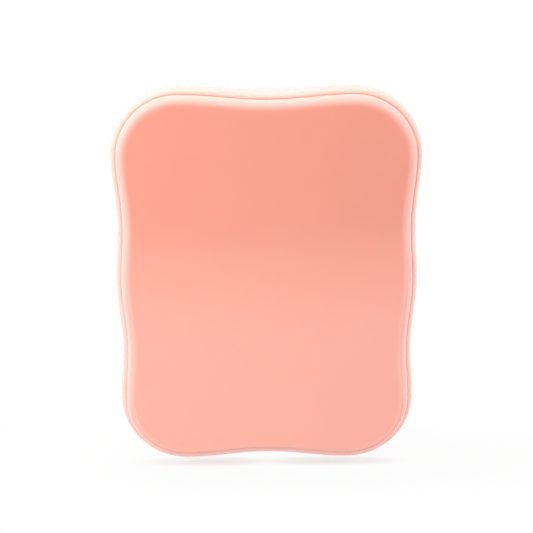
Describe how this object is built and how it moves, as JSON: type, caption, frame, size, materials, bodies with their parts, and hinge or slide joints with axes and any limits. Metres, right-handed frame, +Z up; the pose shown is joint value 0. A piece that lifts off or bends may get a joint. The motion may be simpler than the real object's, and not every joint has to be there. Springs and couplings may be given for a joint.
{
  "type": "wet palette",
  "caption": "Shallow lidded tray with wave-edged sides that keeps paint wet on a damp foam pad and sheet, with dry mixing wells under its plug-in lid.",
  "frame": {"origin": "centre of the footprint, on the surface that the palette lies on", "axes": "+Z up out of the lid's face, +Y along the long side, +X across it"},
  "size_m": [0.17, 0.22, 0.0289],
  "materials": {
    "shell": "satin moulded plastic, peach coral",
    "foot_pad": "matte silicone, pale grey pink",
    "foam": "open-cell foam, cream",
    "sheet": "thin damp membrane paper, off-white",
    "tray_white": "glossy moulded plastic, white",
    "seal": "soft silicone, pale peach"
  },
  "bodies": {
    "base": {"base_tray": "shell", "foot_front_left": "foot_pad", "foot_front_right": "foot_pad", "foot_rear_left": "foot_pad", "foot_rear_right": "foot_pad"},
    "foam": {"hydration_foam": "foam"},
    "sheet": {"palette_sheet": "sheet"},
    "tray": {"mixing_tray": "tray_white"},
    "lid": {"lid_cover": "shell", "lid_seal": "seal"}
  },
  "joints": [
    {"name": "lid_lift", "type": "slide", "parent": "base", "child": "lid", "axis": [0, 0, 1], "range_m": [0, 0.12]},
    {"name": "tray_lift", "type": "slide", "parent": "base", "child": "tray", "axis": [0, 0, 1], "range_m": [0, 0.084]},
    {"name": "sheet_lift", "type": "slide", "parent": "base", "child": "sheet", "axis": [0, 0, 1], "range_m": [0, 0.054]},
    {"name": "foam_lift", "type": "slide", "parent": "base", "child": "foam", "axis": [0, 0, 1], "range_m": [0, 0.03]}
  ],
  "couplings": [
    {"joint": "tray_lift", "follows": "lid_lift", "ratio": 0.7},
    {"joint": "sheet_lift", "follows": "lid_lift", "ratio": 0.45},
    {"joint": "foam_lift", "follows": "lid_lift", "ratio": 0.25}
  ]
}
